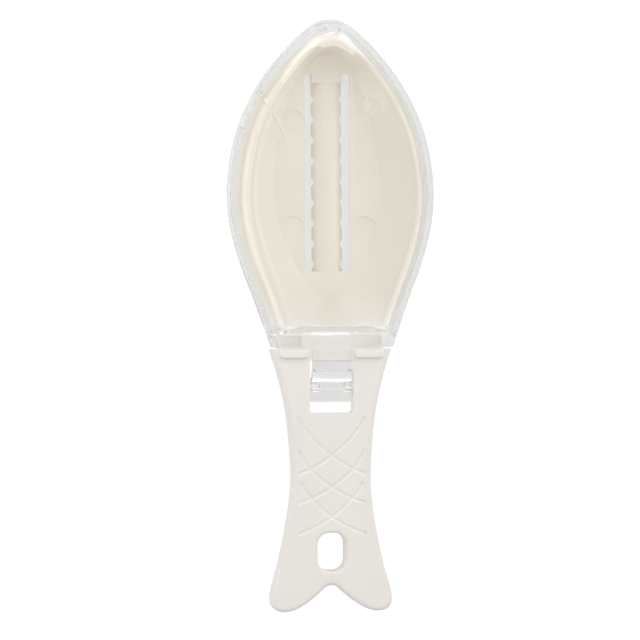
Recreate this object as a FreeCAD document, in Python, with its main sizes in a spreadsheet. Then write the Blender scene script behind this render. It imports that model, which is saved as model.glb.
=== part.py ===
import FreeCAD, Part
import math
import os
from FreeCAD import Vector, Placement, Rotation

# Fish-shaped hand scaler with a hinged clear cover.
# Millimetres, +Z up, +Y towards the nose, X across. The scaler lies on its underside:
# it rests on the toothed edges of the scraping bar and on the lower edge of the tail.

doc = FreeCAD.newDocument("fish_scaler")

# ---------------------------------------------------------------- driving dimensions
sheet = doc.addObject("Spreadsheet::Sheet", "Dims")
DIMS = [
    ("total_length", 230.0, "nose of the cover to the tail"),
    ("body_scale", 1.0, "scale of the free-form outline"),
    ("wall", 2.0, "wall of the ivory moulding"),
    ("cover_wall", 1.6, "wall of the clear cover"),
    ("rim_inset", 2.6, "pan rim inside the cover's skirt"),
    ("floor_under", 2.0, "height of the pan floor's underside"),
    ("floor_top", 4.0, "height of the pan floor"),
    ("rim_top", 14.0, "height of the pan rim"),
    ("rim_low", 9.5, "lower edge of the turned-down rim"),
    ("slope_top", 12.9, "where the outer wall of the pan meets the rim"),
    ("slot_half", 8.9, "half width of the slot"),
    ("slot_tail", 17.6, "tail end of the slot"),
    ("slot_nose", 94.7, "nose end of the slot"),
    ("tooth_pitch", 8.09, "pitch of the scallops"),
    ("tooth_first", 85.0, "scallop nearest the nose"),
    ("tooth_radius", 1.76, "radius of a scallop"),
    ("grip_top", 12.6, "handle top at the hinge end"),
    ("grip_slope", 1.74, "fall of the handle top, degrees"),
    ("window_half", 8.5, "half width of the hinge window"),
    ("window_front", -16.9, "front edge of the window"),
    ("window_back", -37.6, "back edge of the window"),
    ("hinge_pos", -26.8, "hinge axis along the handle"),
    ("hinge_height", 9.0, "hinge axis height"),
    ("pin_radius", 1.8, "stub pin radius"),
    ("socket_radius", 1.87, "socket radius in the tongue"),
    ("boss_radius", 2.9, "side boss radius"),
    ("barrel_radius", 3.1, "tongue barrel radius"),
    ("tongue_half", 7.9, "half width of the tongue"),
    ("hole_pos", -91.7, "centre of the hanging hole"),
    ("hole_wide", 11.1, "hanging hole across"),
    ("hole_long", 15.0, "hanging hole along"),
    ("ridge_top", 14.2, "height of the ridge behind the cover"),
    ("skirt_low", 10.5, "lower edge of the cover's skirt"),
    ("skirt_top", 14.6, "step between skirt and dome"),
    ("cover_top", 26.0, "top of the dome"),
    ("groove_radius", 0.95, "radius of the lattice groove"),
    ("groove_rise", 0.45, "height of the groove's centre over the handle"),
]
for row, (alias, value, note) in enumerate(DIMS, start=1):
    sheet.set("A%d" % row, alias)
    sheet.set("B%d" % row, repr(value))
    sheet.set("C%d" % row, note)
    sheet.setAlias("B%d" % row, alias)
doc.recompute()
D = {alias: float(sheet.get(alias)) for alias, _v, _n in DIMS}


# ---------------------------------------------------------------- outlines
# Half width of the closed scaler along Y, nose first.
OUTLINE = [
    (115.0, 0.0), (114.45, 4.0), (112.6, 7.8), (109.4, 11.9), (104.7, 16.5), (100.1, 20.6),
    (95.4, 24.3), (90.8, 27.5), (86.1, 30.3), (80.3, 33.3), (74.5, 35.7), (67.5, 37.8),
    (60.5, 39.2), (53.6, 40.05), (46.0, 40.35), (39.65, 39.95), (32.7, 38.8), (25.7, 37.0),
    (18.7, 34.8), (11.76, 32.2), (4.8, 29.6), (-2.2, 27.15), (-9.2, 24.8), (-16.1, 22.6),
    (-23.1, 20.5), (-30.1, 18.8), (-37.1, 17.5), (-46.3, 16.45), (-55.6, 15.75), (-63.0, 15.5),
    (-70.0, 15.85), (-78.9, 16.95), (-88.2, 18.65), (-97.5, 20.75), (-104.5, 22.75),
    (-108.5, 23.6), (-110.6, 23.75),
]


def spline_through(points, periodic=False):
    curve = Part.BSplineCurve()
    curve.interpolate(Points=[Vector(x, y, 0) for x, y in points], PeriodicFlag=periodic)
    return curve


SIDE = spline_through([(x, y) for y, x in OUTLINE])


def side_points(count=400, y_low=-110.6):
    """Dense points and outward normals of the right side, tail to nose."""
    out = []
    a, b = SIDE.FirstParameter, SIDE.LastParameter
    for i in range(count + 1):
        t = b + (a - b) * i / count
        p = SIDE.value(t)
        d = SIDE.tangent(t)[0]
        if p.y >= y_low:
            out.append((p.x, p.y, d))
    return out


def offset_side(inset):
    """Right side moved inwards by inset (a number or a function of Y), from low Y to the nose."""
    pts = []
    for x, y, d in side_points():
        n = Vector(-d.y, d.x, 0)
        if n.x < 0 or (abs(n.x) < 1e-9 and n.y < 0):
            n = n * -1
        n.normalize()
        k = inset(y) if callable(inset) else inset
        pts.append((x - n.x * k, y - n.y * k))
    return [p for p in pts if p[0] > 0.02]


def resample(poly, count):
    """count points evenly along a polyline, both ends included."""
    run = [0.0]
    for p, q in zip(poly, poly[1:]):
        run.append(run[-1] + math.hypot(q[0] - p[0], q[1] - p[1]))
    out = []
    j = 0
    for i in range(count):
        want = run[-1] * i / (count - 1)
        while j < len(run) - 2 and run[j + 1] < want:
            j += 1
        span = run[j + 1] - run[j]
        f = 0.0 if span == 0 else (want - run[j]) / span
        out.append((poly[j][0] + f * (poly[j + 1][0] - poly[j][0]),
                    poly[j][1] + f * (poly[j + 1][1] - poly[j][1])))
    return out


def cut_low(poly, y_low):
    """Keep the part of a rising polyline at or above y_low."""
    for i in range(len(poly) - 1):
        if poly[i][1] <= y_low < poly[i + 1][1]:
            f = (y_low - poly[i][1]) / (poly[i + 1][1] - poly[i][1])
            x = poly[i][0] + f * (poly[i + 1][0] - poly[i][0])
            return [(x, y_low)] + poly[i + 1:]
    return poly


def ring(inset, y_low, corner, nose_back=0.0, half=25):
    """Closed ring: rear line at y_low with rounded corners, sides inset from the outline, nose.
    Returned as points from the rear centre, counter-clockwise, right side first."""
    side = cut_low(offset_side(inset), y_low)
    if nose_back:
        side = [(x, y - nose_back * max(0.0, min(1.0, (y - 88.0) / 22.0)) ** 2) for x, y in side]
    corner_x = side[0][0]
    arc = []
    # the corner: a circle tangent to the rear line and to the side
    start = corner_x - corner
    for i in range(9):
        a = -math.pi / 2 + (math.pi / 2) * i / 8
        arc.append((start + corner * math.cos(a), y_low + corner + corner * math.sin(a)))
    shifted = []
    for x, y in side:
        if y < y_low + corner:
            continue
        shifted.append((x, y))
    blend = shifted[0][0] - arc[-1][0]
    arc = [(x + blend * (i / 8.0), y) for i, (x, y) in enumerate(arc)]
    poly = [(0.0, y_low)] + arc + shifted[1:] + [(0.0, shifted[-1][1] + 0.002)]
    right = resample(poly, half)
    left = [(-x, y) for x, y in reversed(right[1:-1])]
    return right + left


# Floor of the pan: a pointed oval. (Y, half width)
FLOOR = [
    (5.0, 0.0), (6.6, 2.6), (10.2, 6.0), (17.2, 11.0), (23.8, 14.7), (29.6, 17.0), (35.4, 18.8),
    (41.2, 20.1), (49.0, 20.8), (58.6, 20.6), (68.3, 19.3), (76.5, 17.4), (87.7, 13.9),
    (96.2, 9.9), (100.5, 6.4), (102.6, 3.2), (103.4, 0.0),
]


def floor_ring(grow, half=25):
    curve = spline_through([(x, y) for y, x in FLOOR])
    a, b = curve.FirstParameter, curve.LastParameter
    pts = []
    for i in range(301):
        t = a + (b - a) * i / 300
        p, d = curve.value(t), curve.tangent(t)[0]
        n = Vector(d.y, -d.x, 0)
        n.normalize()
        pts.append((p.x + n.x * grow, p.y + n.y * grow))
    pts = [p for p in pts if p[0] > 0.02]
    pts = [(0.0, pts[0][1])] + pts + [(0.0, pts[-1][1])]
    right = resample(pts, half)
    return right + [(-x, y) for x, y in reversed(right[1:-1])]


# ---------------------------------------------------------------- modelling helpers
def plane_of(body, role):
    for f in body.Origin.OriginFeatures:
        if f.Role == role:
            return f
    raise RuntimeError(role)


def sketch(body, name, role="XY_Plane", lift=None, lift_expr=None, tilt=None):
    sk = body.newObject("Sketcher::SketchObject", name)
    sk.AttachmentSupport = [(plane_of(body, role), "")]
    sk.MapMode = "FlatFace"
    if lift is not None or tilt is not None:
        sk.AttachmentOffset = Placement(Vector(0, 0, lift or 0.0), tilt or Rotation())
    if lift_expr:
        sk.setExpression(".AttachmentOffset.Base.z", lift_expr)
    return sk


def closed_spline(sk, points):
    sk.addGeometry(spline_through(points, True), False)


def polygon(sk, points):
    n = len(points)
    for i in range(n):
        a, b = points[i], points[(i + 1) % n]
        sk.addGeometry(Part.LineSegment(Vector(a[0], a[1], 0), Vector(b[0], b[1], 0)), False)


def box2(sk, x0, y0, x1, y1):
    polygon(sk, [(x0, y0), (x1, y0), (x1, y1), (x0, y1)])


def rounded_box(sk, x0, y0, x1, y1, r):
    line, arc = Part.LineSegment, Part.Arc
    k = r * (1 - math.sqrt(0.5))
    pts = lambda *p: [Vector(a, b, 0) for a, b in p]
    sk.addGeometry(line(*pts((x0 + r, y0), (x1 - r, y0))), False)
    sk.addGeometry(arc(*pts((x1 - r, y0), (x1 - k, y0 + k), (x1, y0 + r))), False)
    sk.addGeometry(line(*pts((x1, y0 + r), (x1, y1 - r))), False)
    sk.addGeometry(arc(*pts((x1, y1 - r), (x1 - k, y1 - k), (x1 - r, y1))), False)
    sk.addGeometry(line(*pts((x1 - r, y1), (x0 + r, y1))), False)
    sk.addGeometry(arc(*pts((x0 + r, y1), (x0 + k, y1 - k), (x0, y1 - r))), False)
    sk.addGeometry(line(*pts((x0, y1 - r), (x0, y0 + r))), False)
    sk.addGeometry(arc(*pts((x0, y0 + r), (x0 + k, y0 + k), (x0 + r, y0))), False)


def pad(body, name, sk, length, expr=None, midplane=False, reverse=False):
    f = body.newObject("PartDesign::Pad", name)
    f.Profile = sk
    f.Length = length
    f.Midplane = midplane
    f.Reversed = reverse
    if expr:
        f.setExpression("Length", expr)
    sk.Visibility = False
    doc.recompute()
    return check(f)


def pocket(body, name, sk, length=None, expr=None, midplane=False, reverse=False):
    before = body.Shape.Volume
    f = body.newObject("PartDesign::Pocket", name)
    f.Profile = sk
    if length is None:
        f.Type = "ThroughAll"
    else:
        f.Length = length
    f.Midplane = midplane
    f.Reversed = reverse
    if expr:
        f.setExpression("Length", expr)
    sk.Visibility = False
    doc.recompute()
    check(f)
    if not f.Shape.Volume < before - 1e-3:
        raise RuntimeError("%s cuts nothing" % name)
    return f


def loft(body, name, profiles, ruled=False, cut=False):
    kind = "PartDesign::SubtractiveLoft" if cut else "PartDesign::AdditiveLoft"
    f = body.newObject(kind, name)
    f.Profile = profiles[0]
    f.Sections = profiles[1:]
    f.Ruled = ruled
    doc.recompute()
    return check(f)


def check(f):
    if any(s in f.State for s in ("Invalid", "Error")) or f.Shape.isNull() or not f.Shape.isValid():
        raise RuntimeError("%s failed: %s" % (f.Name, f.State))
    print("%-22s volume %10.1f  solids %d" % (f.Name, f.Shape.Volume, len(f.Shape.Solids)))
    return f


def edges_where(shape, test):
    return ["Edge%d" % (i + 1) for i, e in enumerate(shape.Edges) if test(e)]


def fillet(body, name, base, names, radius, optional=False):
    f = body.newObject("PartDesign::Fillet", name)
    f.Base = (base, names)
    f.Radius = radius
    doc.recompute()
    bad = any(s in f.State for s in ("Invalid", "Error")) or f.Shape.isNull() or not f.Shape.isValid()
    if bad and optional:
        print("%s left out (%d edges)" % (name, len(names)))
        body.removeObject(f)
        doc.removeObject(f.Name)
        body.Tip = base
        doc.recompute()
        return base
    return check(f)


# ================================================================ base: the ivory body
base = doc.addObject("PartDesign::Body", "base")
base.Label = "base"

# --- handle: a turned-down shell, flat on top and falling towards the tail
side = cut_low([(p[0], p[1]) for p in side_points()], -110.6)
grip_side = [p for p in side if p[1] < -12.7]
shoulder = grip_side[-1]
tail = [(23.75, -110.6), (23.35, -112.5), (21.6, -114.3), (18.6, -115.0), (15.4, -114.6),
        (12.2, -113.2), (7.6, -110.1), (3.5, -106.5), (1.6, -105.1), (0.0, -104.75)]
side_curve = resample(grip_side, 18)
right_outline = side_curve[::-1] + tail[1:]          # shoulder, down the side, round the tail


def mirror_pts(points):
    return [(-x, y) for x, y in points]


def inset_polyline(points, k):
    """Move an open polyline to its right-hand side (towards the middle) by k."""
    out = []
    for i, (x, y) in enumerate(points):
        a = points[max(0, i - 1)]
        b = points[min(len(points) - 1, i + 1)]
        dx, dy = b[0] - a[0], b[1] - a[1]
        d = math.hypot(dx, dy)
        out.append((x + dy / d * k, y - dx / d * k))
    return out


def add_spline(sk, points):
    sk.addGeometry(spline_through(points), False)


neck = [(x, y) for x, y in cut_low(offset_side(3.2), -12.6)]
neck = [p for p in neck if p[1] < 2.0]
neck_curve = resample(neck, 5)

sk = sketch(base, "grip_outline")
add_spline(sk, right_outline)
add_spline(sk, mirror_pts(right_outline)[::-1])
sh = right_outline[0]
n0, n1 = neck_curve[0], neck_curve[-1]
sk.addGeometry(Part.LineSegment(Vector(sh[0], sh[1], 0), Vector(n0[0], sh[1], 0)), False)
sk.addGeometry(Part.LineSegment(Vector(n0[0], sh[1], 0), Vector(n1[0], n1[1], 0)), False)
sk.addGeometry(Part.LineSegment(Vector(n1[0], n1[1], 0), Vector(-n1[0], n1[1], 0)), False)
sk.addGeometry(Part.LineSegment(Vector(-n1[0], n1[1], 0), Vector(-n0[0], sh[1], 0)), False)
sk.addGeometry(Part.LineSegment(Vector(-n0[0], sh[1], 0), Vector(-sh[0], sh[1], 0)), False)
grip = pad(base, "grip_block", sk, D["grip_top"], "Dims.grip_top")

fall = math.tan(math.radians(D["grip_slope"]))


def top_at(y):
    return D["grip_top"] - max(0.0, -12.6 - y) * fall


sk = sketch(base, "grip_top_profile", "YZ_Plane")
polygon(sk, [(-12.6, D["grip_top"]), (-130.0, top_at(-130.0)), (-130.0, 20.0), (-12.6, 20.0)])
pocket(base, "grip_top_cut", sk, midplane=True)

sk = sketch(base, "grip_low_profile", "YZ_Plane")
sk.addGeometry(Part.LineSegment(Vector(10, -3, 0), Vector(10, 4.5, 0)), False)
sk.addGeometry(Part.LineSegment(Vector(10, 4.5, 0), Vector(-50, 4.5, 0)), False)
low_curve = Part.BezierCurve()
low_curve.setPoles([Vector(-50, 4.5, 0), Vector(-70, 4.5, 0), Vector(-75, 0, 0), Vector(-95, 0, 0)])
sk.addGeometry(low_curve.toBSpline(), False)
sk.addGeometry(Part.LineSegment(Vector(-95, 0, 0), Vector(-95, -3, 0)), False)
sk.addGeometry(Part.LineSegment(Vector(-95, -3, 0), Vector(10, -3, 0)), False)
grip = pocket(base, "grip_low_cut", sk, midplane=True)

# rounded upper edge, all round the handle
def on_grip_top(e):
    zs = [e.valueAt(e.FirstParameter + (e.LastParameter - e.FirstParameter) * k / 4.0) for k in range(5)]
    return all(abs(p.z - top_at(p.y)) < 0.02 and p.y < -12.55 for p in zs) and not all(
        abs(p.y - sh[1]) < 0.2 for p in zs)


grip = fillet(base, "grip_round", grip, edges_where(grip.Shape, on_grip_top), 2.2)

# --- hollow underside, with a frame round the window and a tube round the hanging hole
roof = Rotation(Vector(1, 0, 0), D["grip_slope"])      # plane parallel to the handle top


def roof_sketch(name, below):
    sk = base.newObject("Sketcher::SketchObject", name)
    sk.AttachmentSupport = [(plane_of(base, "XY_Plane"), "")]
    sk.MapMode = "FlatFace"
    # the plane passes through (Y = -12.6, Z = grip_top - below) and falls with the handle
    sk.AttachmentOffset = Placement(Vector(0, -12.6, D["grip_top"] - below), roof)
    return sk


def to_roof(points):
    """Row X, Y to the tilted plane's own coordinates."""
    c = math.cos(math.radians(D["grip_slope"]))
    return [(x, (y + 12.6) / c) for x, y in points]


inner_right = inset_polyline(resample(right_outline, 60), D["wall"])
inner_right = [p for p in inner_right if p[0] > 0.3]
inner_right = [p for p in inner_right if p[1] < -14.6]
inner_right[-1] = (0.0, -102.6)
inner_curve = resample(inner_right[:-4] + [(2.2, -103.2), (0.0, -102.7)], 24)

sk = roof_sketch("hollow_outline", D["wall"])
top_in = inner_curve[0]
add_spline(sk, to_roof(inner_curve))
add_spline(sk, to_roof(mirror_pts(inner_curve)[::-1]))
nk = [(n0[0] - D["wall"], top_in[1]), (n1[0] - D["wall"] - 0.4, n1[1] - 1.0)]
poly = to_roof([top_in, nk[0], nk[1], (-nk[1][0], nk[1][1]), (-nk[0][0], nk[0][1]), (-top_in[0], top_in[1])])
for a, b in zip(poly, poly[1:]):
    sk.addGeometry(Part.LineSegment(Vector(a[0], a[1], 0), Vector(b[0], b[1], 0)), False)
# window frame stays standing
wf = D["window_half"] + 1.7
q = to_roof([(-wf, D["window_back"] - 1.7), (wf, D["window_front"] + 1.7)])
rounded_box(sk, q[0][0], q[0][1], q[1][0], q[1][1], 2.0)
# tube round the hanging hole stays standing
hw, hl = D["hole_wide"] / 2, D["hole_long"] / 2
q = to_roof([(-hw - 1.8, D["hole_pos"] - hl - 1.8), (hw + 1.8, D["hole_pos"] + hl + 1.8)])
rounded_box(sk, q[0][0], q[0][1], q[1][0], q[1][1], 6.2)
pocket(base, "hollow", sk)

# --- hinge window and hanging hole
sk = sketch(base, "window_outline")
rounded_box(sk, -D["window_half"], D["window_back"], D["window_half"], D["window_front"], 1.3)
pocket(base, "window", sk, reverse=True)
sk = sketch(base, "hole_outline")
rounded_box(sk, -hw, D["hole_pos"] - hl, hw, D["hole_pos"] + hl, 4.6)
hole = pocket(base, "hanging_hole", sk, reverse=True)


def hole_rim(e):
    ps = [e.valueAt(e.FirstParameter + (e.LastParameter - e.FirstParameter) * k / 4.0) for k in range(5)]
    return all(abs(p.z - top_at(p.y)) < 0.05 and abs(p.x) < hw + 0.1 and abs(p.y - D["hole_pos"]) < hl + 0.1
               for p in ps)


hole = fillet(base, "hole_round", hole, edges_where(hole.Shape, hole_rim), 1.2, optional=True)

# --- pan: sloped outer wall, rim and turned-down lip
REAR = -5.2
rim_ring = ring(lambda y: D["rim_inset"], REAR, 4.5, nose_back=2.6)
rim_inner = ring(lambda y: D["rim_inset"] + D["wall"], REAR + D["wall"], 4.0, nose_back=5.4)
lip_inner = ring(lambda y: D["rim_inset"] + 1.5, REAR + 1.5, 3.5, nose_back=2.6)

sk_a = sketch(base, "floor_under_outline", lift=D["floor_under"], lift_expr="Dims.floor_under")
closed_spline(sk_a, floor_ring(1.5))
sk_b = sketch(base, "slope_top_outline", lift=D["slope_top"], lift_expr="Dims.slope_top")
closed_spline(sk_b, rim_ring)
loft(base, "pan_wall", [sk_a, sk_b], ruled=True)

sk = sketch(base, "rim_outline", lift=D["slope_top"], lift_expr="Dims.slope_top")
closed_spline(sk, rim_ring)
rim = pad(base, "rim", sk, D["rim_top"] - D["slope_top"], "Dims.rim_top - Dims.slope_top")

sk = sketch(base, "lip_outline", lift=D["rim_low"], lift_expr="Dims.rim_low")
closed_spline(sk, rim_ring)
closed_spline(sk, lip_inner)
lip = pad(base, "lip", sk, D["slope_top"] - D["rim_low"] + 0.4, "Dims.slope_top - Dims.rim_low + 0.4")

sk_a = sketch(base, "floor_outline", lift=D["floor_top"], lift_expr="Dims.floor_top")
closed_spline(sk_a, floor_ring(0.0))
sk_b = sketch(base, "rim_inner_outline", lift=D["rim_top"], lift_expr="Dims.rim_top")
closed_spline(sk_b, rim_inner)
loft(base, "pan_hollow", [sk_a, sk_b], ruled=True, cut=True)

# --- slot through the floor
sk = sketch(base, "slot_outline")
rounded_box(sk, -D["slot_half"], D["slot_tail"], D["slot_half"], D["slot_nose"], 0.6)
pocket(base, "slot", sk, 11.0, reverse=True)

# --- scraping bar: an arched section along the slot, its two lower edges are the teeth
sk = sketch(base, "bar_section", "XZ_Plane", lift=-(D["slot_nose"] + 0.4))
V = lambda x, z: Vector(x, z, 0)
L, A = Part.LineSegment, Part.Arc
sk.addGeometry(L(V(-6.0, 0), V(-4.6, 1.67)), False)
sk.addGeometry(A(V(-4.6, 1.67), V(0, 3.75), V(4.6, 1.67)), False)
sk.addGeometry(L(V(4.6, 1.67), V(6.0, 0)), False)
sk.addGeometry(L(V(6.0, 0), V(4.6, 0)), False)
sk.addGeometry(L(V(4.6, 0), V(3.0, 1.75)), False)
sk.addGeometry(A(V(3.0, 1.75), V(0, 2.35), V(-3.0, 1.75)), False)
sk.addGeometry(L(V(-3.0, 1.75), V(-4.6, 0)), False)
sk.addGeometry(L(V(-4.6, 0), V(-6.0, 0)), False)
pad(base, "bar", sk, D["slot_nose"] - D["slot_tail"] + 0.8, "Dims.slot_nose - Dims.slot_tail + 0.8")

# tab between the bar and the floor at the nose end
sk = sketch(base, "tab_outline", lift=2.2)
box2(sk, -6.0, D["slot_nose"] - 3.5, 6.0, D["slot_nose"] + 0.4)
pad(base, "tab", sk, 1.8)

# scallops
sk = sketch(base, "scallop", "YZ_Plane")
sk.addGeometry(Part.Circle(Vector(D["tooth_first"], 1.15 - D["tooth_radius"], 0), Vector(0, 0, 1),
                           D["tooth_radius"]), False)
sc = pocket(base, "scallops", sk, 16.0, midplane=True)
pat = base.newObject("PartDesign::LinearPattern", "scallop_row")
pat.Originals = [sc]
pat.Direction = (plane_of(base, "Y_Axis"), [""])
pat.Reversed = True
pat.Length = D["tooth_pitch"] * 8
pat.setExpression("Length", "Dims.tooth_pitch * 8")
pat.Occurrences = 9
base.Tip = pat
doc.recompute()
check(pat)

# --- shallow, slightly tilted ejector-pin marks in the pan
for i, (x, y) in enumerate([(-14.0, 76.5), (14.0, 76.5), (-14.2, 34.8), (14.2, 34.8)]):
    sk = base.newObject("Sketcher::SketchObject", "mark_%d" % (i + 1))
    sk.AttachmentSupport = [(plane_of(base, "XY_Plane"), "")]
    sk.MapMode = "FlatFace"
    sk.AttachmentOffset = Placement(Vector(x, y, D["floor_top"] - 0.28), Rotation(Vector(1, 0, 0), -3.0))
    sk.addGeometry(Part.Circle(Vector(0, 0, 0), Vector(0, 0, 1), 4.4), False)
    pocket(base, "mark_cut_%d" % (i + 1), sk, 9.0, reverse=True)

# --- shallow pockets in the ledge behind the pan
for i, s in enumerate((-1, 1)):
    sk = sketch(base, "ledge_pocket_outline_%d" % (i + 1), lift=D["grip_top"])
    x0, x1 = sorted((s * 11.8, s * 19.4))
    rounded_box(sk, x0, -11.4, x1, -7.2, 1.0)
    pocket(base, "ledge_pocket_%d" % (i + 1), sk, 1.0)

# --- ridge behind the cover, either side of the tongue
for i, s in enumerate((-1, 1)):
    sk = sketch(base, "ridge_outline_%d" % (i + 1), lift=D["grip_top"] - 1.2, lift_expr="Dims.grip_top - 1.2")
    x0, x1 = sorted((s * 8.9, s * 20.4))
    rounded_box(sk, x0, -16.4, x1, -12.65, 1.5)
    r = pad(base, "ridge_%d" % (i + 1), sk, D["ridge_top"] - D["grip_top"] + 1.2,
            "Dims.ridge_top - Dims.grip_top + 1.2")
    names = edges_where(r.Shape, lambda e: all(
        abs(e.valueAt(e.FirstParameter + (e.LastParameter - e.FirstParameter) * k / 3.0).z - D["ridge_top"]) < 0.01
        and s * e.valueAt(e.FirstParameter).x > 5 and e.valueAt(e.FirstParameter).y < -12
        for k in range(4)))
    r = fillet(base, "ridge_round_%d" % (i + 1), r, names, 1.1, optional=True)

# --- catch lug on the nose, under which the cover snaps
sk = sketch(base, "lug_outline", lift=12.6)
nose_y = max(y for _x, y in rim_ring)
box2(sk, -4.6, nose_y - 1.5, 4.6, nose_y + 0.8)
pad(base, "nose_lug", sk, 1.4)
# notch through it, below the cover's moulding hole
sk = sketch(base, "nose_notch_outline", lift=9.0)
polygon(sk, [(-2.6, nose_y + 2.0), (2.6, nose_y + 2.0), (1.9, nose_y - 1.3), (-1.9, nose_y - 1.3)])
pocket(base, "nose_notch", sk, 6.0, reverse=True)

# --- hinge bosses and stub pins on the window's side walls
for i, s in enumerate((-1, 1)):
    sk = sketch(base, "boss_circle_%d" % (i + 1), "YZ_Plane", lift=s * (D["window_half"] + 0.5))
    sk.addGeometry(Part.Circle(Vector(D["hinge_pos"], D["hinge_height"], 0), Vector(0, 0, 1),
                               D["boss_radius"]), False)
    pad(base, "boss_%d" % (i + 1), sk, 0.8, reverse=(s > 0))
    sk = sketch(base, "pin_circle_%d" % (i + 1), "YZ_Plane", lift=s * (D["window_half"] + 0.5))
    sk.addGeometry(Part.Circle(Vector(D["hinge_pos"], D["hinge_height"], 0), Vector(0, 0, 1),
                               D["pin_radius"]), False)
    pad(base, "pin_%d" % (i + 1), sk, 3.6, reverse=(s > 0))

# --- lattice grooves in the top of the handle
LATTICE = [
    [(-13.2, -39.4), (-10.8, -43.2), (-8.1, -46.7), (-2.3, -52.3), (0.4, -54.4), (7.0, -58.8), (13.4, -61.3)],
    [(-13.0, -51.8), (-10.6, -56.4), (-8.0, -59.9), (-3.6, -63.9), (0.4, -66.8), (8.1, -70.9), (13.4, -72.6)],
    [(-12.4, -64.4), (-10.3, -68.0), (-8.0, -70.9), (-3.6, -75.3), (0.4, -78.4), (7.0, -82.2), (13.4, -84.8)],
]
for i, run in enumerate(LATTICE):
    for j, s in enumerate((1, -1)):
        pts = [(s * x, y) for x, y in run]
        path = roof_sketch("groove_path_%d_%d" % (i + 1, j + 1), -D["groove_rise"])
        add_spline(path, to_roof(pts))
        doc.recompute()
        # section square to the start of the path
        e = path.Shape.Edges[0]
        p0, t0 = e.valueAt(e.FirstParameter), e.tangentAt(e.FirstParameter)
        sec = base.newObject("Sketcher::SketchObject", "groove_section_%d_%d" % (i + 1, j + 1))
        sec.AttachmentSupport = [(plane_of(base, "XY_Plane"), "")]
        sec.MapMode = "FlatFace"
        sec.AttachmentOffset = Placement(p0, Rotation(Vector(0, 0, 1), t0))
        sec.addGeometry(Part.Circle(Vector(0, 0, 0), Vector(0, 0, 1), D["groove_radius"]), False)
        doc.recompute()
        g = base.newObject("PartDesign::SubtractivePipe", "groove_%d_%d" % (i + 1, j + 1))
        g.Profile = sec
        g.Spine = path
        g.Mode = "Frenet"
        doc.recompute()
        check(g)

# ================================================================ lid: the clear cover
lid = doc.addObject("PartDesign::Body", "lid")
lid.Label = "lid"
FLANGE_BACK = -11.95

# --- skirt round the rim, running back over the ledge
skirt_side = cut_low(offset_side(0.0), FLANGE_BACK)
skirt_half = resample(skirt_side + [(0.0, D["total_length"] / 2)], 34)
sk = sketch(lid, "skirt_outline", lift=D["skirt_low"], lift_expr="Dims.skirt_low")
add_spline(sk, skirt_half + mirror_pts(skirt_half[:-1])[::-1])
a = skirt_half[0]
sk.addGeometry(Part.LineSegment(Vector(-a[0], a[1], 0), Vector(a[0], a[1], 0)), False)
pad(lid, "skirt", sk, D["skirt_top"] - D["skirt_low"], "Dims.skirt_top - Dims.skirt_low")

# --- dome: (height, inset at the sides, rear wall)
DOME = [(13.6, 0.86, -7.6), (16.4, 1.05, -7.35), (18.6, 1.5, -7.15), (20.8, 2.5, -6.85), (22.8, 4.1, -6.4),
        (24.4, 6.2, -5.8), (25.5, 8.4, -5.1), (26.0, 10.4, -4.3)]


def dome_sections(body, tag, dome, bottom):
    out = []
    for k, (z, inset, rear) in enumerate(dome):
        sk = sketch(body, "%s_%d" % (tag, k + 1), lift=z if k else bottom)
        closed_spline(sk, ring(inset, rear, 4.6 + 0.25 * inset, half=33))
        out.append(sk)
    return out


loft(lid, "dome", dome_sections(lid, "dome_section", DOME, 13.6))

# --- mouth: a wedge let into the shoulder of the dome, open to the side. The wedge is cut right
# through, then filled by a lower skin, so that the wall stays whole behind it.
sk = sketch(lid, "mouth_outline", lift=15.0)
polygon(sk, [(-18.3, 67.35), (-31.9, 91.4), (-42.0, 80.0), (-39.3, 75.3)])
pocket(lid, "mouth", sk, 14.0, reverse=True)
LOWER = [(z - 0.15 - 0.7 * (k / 7.0) ** 1.5, inset + 0.8 - 0.35 * (k / 7.0), rear + 0.7)
         for k, (z, inset, rear) in enumerate(DOME)]
loft(lid, "mouth_skin", dome_sections(lid, "skin_section", LOWER, 13.4))

inner = [(14.4, 2.5, -5.65), (16.4, 2.65, -5.55), (18.4, 3.05, -5.4), (20.2, 3.95, -5.2), (21.9, 5.35, -4.85),
         (23.2, 7.1, -4.4), (24.05, 8.9, -3.8), (24.4, 10.6, -3.1)]
loft(lid, "dome_hollow", dome_sections(lid, "hollow_section", inner, 14.0), cut=True)

# --- inside of the skirt: deep round the pan, shallower under the flange
sk = sketch(lid, "skirt_inner_outline", lift=12.9)
closed_spline(sk, ring(D["cover_wall"] + 0.6, -5.95, 3.0, half=33))
pocket(lid, "skirt_inner", sk, 1.5, reverse=True)
sk = sketch(lid, "flange_under_outline", lift=D["skirt_low"] - 0.5)
inner_side = cut_low(offset_side(D["cover_wall"]), -13.5)
half_pts = resample(inner_side + [(0.0, inner_side[-1][1])], 40)
add_spline(sk, half_pts)
add_spline(sk, mirror_pts(half_pts)[::-1])
a = half_pts[0]
sk.addGeometry(Part.LineSegment(Vector(a[0], a[1], 0), Vector(-a[0], a[1], 0)), False)
pocket(lid, "flange_under", sk, 12.9 - D["skirt_low"] + 0.5, reverse=True)

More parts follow.
